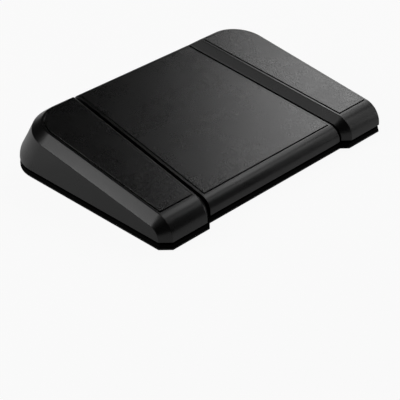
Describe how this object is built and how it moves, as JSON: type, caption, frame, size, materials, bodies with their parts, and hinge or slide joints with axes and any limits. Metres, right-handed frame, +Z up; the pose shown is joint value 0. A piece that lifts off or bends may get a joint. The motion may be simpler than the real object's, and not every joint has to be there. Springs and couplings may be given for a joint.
{
  "type": "usb foot pedal switch",
  "caption": "Wedge-shaped desktop foot switch with side-by-side toe pedals hinged at the low front, textured pads and a steel base plate.",
  "frame": {"origin": "centre of the underside of the rubber feet, below the middle of the overall box", "axes": "+X to the user's right along the row of pedals, +Y from the low front to the tall rear, +Z up"},
  "size_m": [0.233, 0.174, 0.0449],
  "materials": {
    "black_plastic": "satin moulded",
    "grained_pad": "fine grain",
    "coated_steel": "powder coated",
    "foot_rubber": "matte",
    "zinc_steel": "zinc plated",
    "axle_steel": "ground",
    "spring_steel": "drawn",
    "board": "solder mask",
    "chip_plastic": "moulded",
    "acetal": "natural",
    "plunger_plastic": "moulded"
  },
  "bodies": {
    "base": {"base_plate": "coated_steel", "base_tray": "black_plastic", "rubber_feet": "foot_rubber", "base_screws": "zinc_steel", "hinge_axles": "axle_steel", "hinge_caps": "black_plastic", "hinge_cap_screws": "zinc_steel", "rubber_buffers": "foot_rubber", "main_board": "board", "board_screws": "zinc_steel", "controller_chip": "chip_plastic", "usb_socket": "axle_steel", "switch_bodies": "chip_plastic", "left_springs": "spring_steel", "centre_springs": "spring_steel", "right_springs": "spring_steel"},
    "left_pedal": {"left_shell": "black_plastic", "left_pad": "grained_pad", "left_bushes": "acetal"},
    "left_plunger": {"left_plunger": "plunger_plastic"},
    "centre_pedal": {"centre_shell": "black_plastic", "centre_pad": "grained_pad", "centre_bushes": "acetal"},
    "centre_plunger": {"centre_plunger": "plunger_plastic"},
    "right_pedal": {"right_shell": "black_plastic", "right_pad": "grained_pad", "right_bushes": "acetal"},
    "right_plunger": {"right_plunger": "plunger_plastic"}
  },
  "joints": [
    {"name": "left_press", "type": "hinge", "parent": "base", "child": "left_pedal", "pos_m": [-0.0932, -0.072, 0.0104], "axis": [-1, 0, 0], "range_deg": [0, 0.72], "stiffness_Nm_per_rad": 40, "springref_deg": -2.01, "deforming": ["left_springs"]},
    {"name": "left_plunger_slide", "type": "slide", "parent": "base", "child": "left_plunger", "axis": [0, 0, -1], "range_m": [0, 0.0013]},
    {"name": "centre_press", "type": "hinge", "parent": "base", "child": "centre_pedal", "pos_m": [0, -0.072, 0.0104], "axis": [-1, 0, 0], "range_deg": [0, 0.72], "stiffness_Nm_per_rad": 40, "springref_deg": -2.01, "deforming": ["centre_springs"]},
    {"name": "centre_plunger_slide", "type": "slide", "parent": "base", "child": "centre_plunger", "axis": [0, 0, -1], "range_m": [0, 0.0013]},
    {"name": "right_press", "type": "hinge", "parent": "base", "child": "right_pedal", "pos_m": [0.0932, -0.072, 0.0104], "axis": [-1, 0, 0], "range_deg": [0, 0.72], "stiffness_Nm_per_rad": 40, "springref_deg": -2.01, "deforming": ["right_springs"]},
    {"name": "right_plunger_slide", "type": "slide", "parent": "base", "child": "right_plunger", "axis": [0, 0, -1], "range_m": [0, 0.0013]}
  ],
  "couplings": [
    {"joint": "left_plunger_slide", "follows": "left_press", "m_per_rad": 0.091},
    {"joint": "centre_plunger_slide", "follows": "centre_press", "m_per_rad": 0.091},
    {"joint": "right_plunger_slide", "follows": "right_press", "m_per_rad": 0.091}
  ]
}
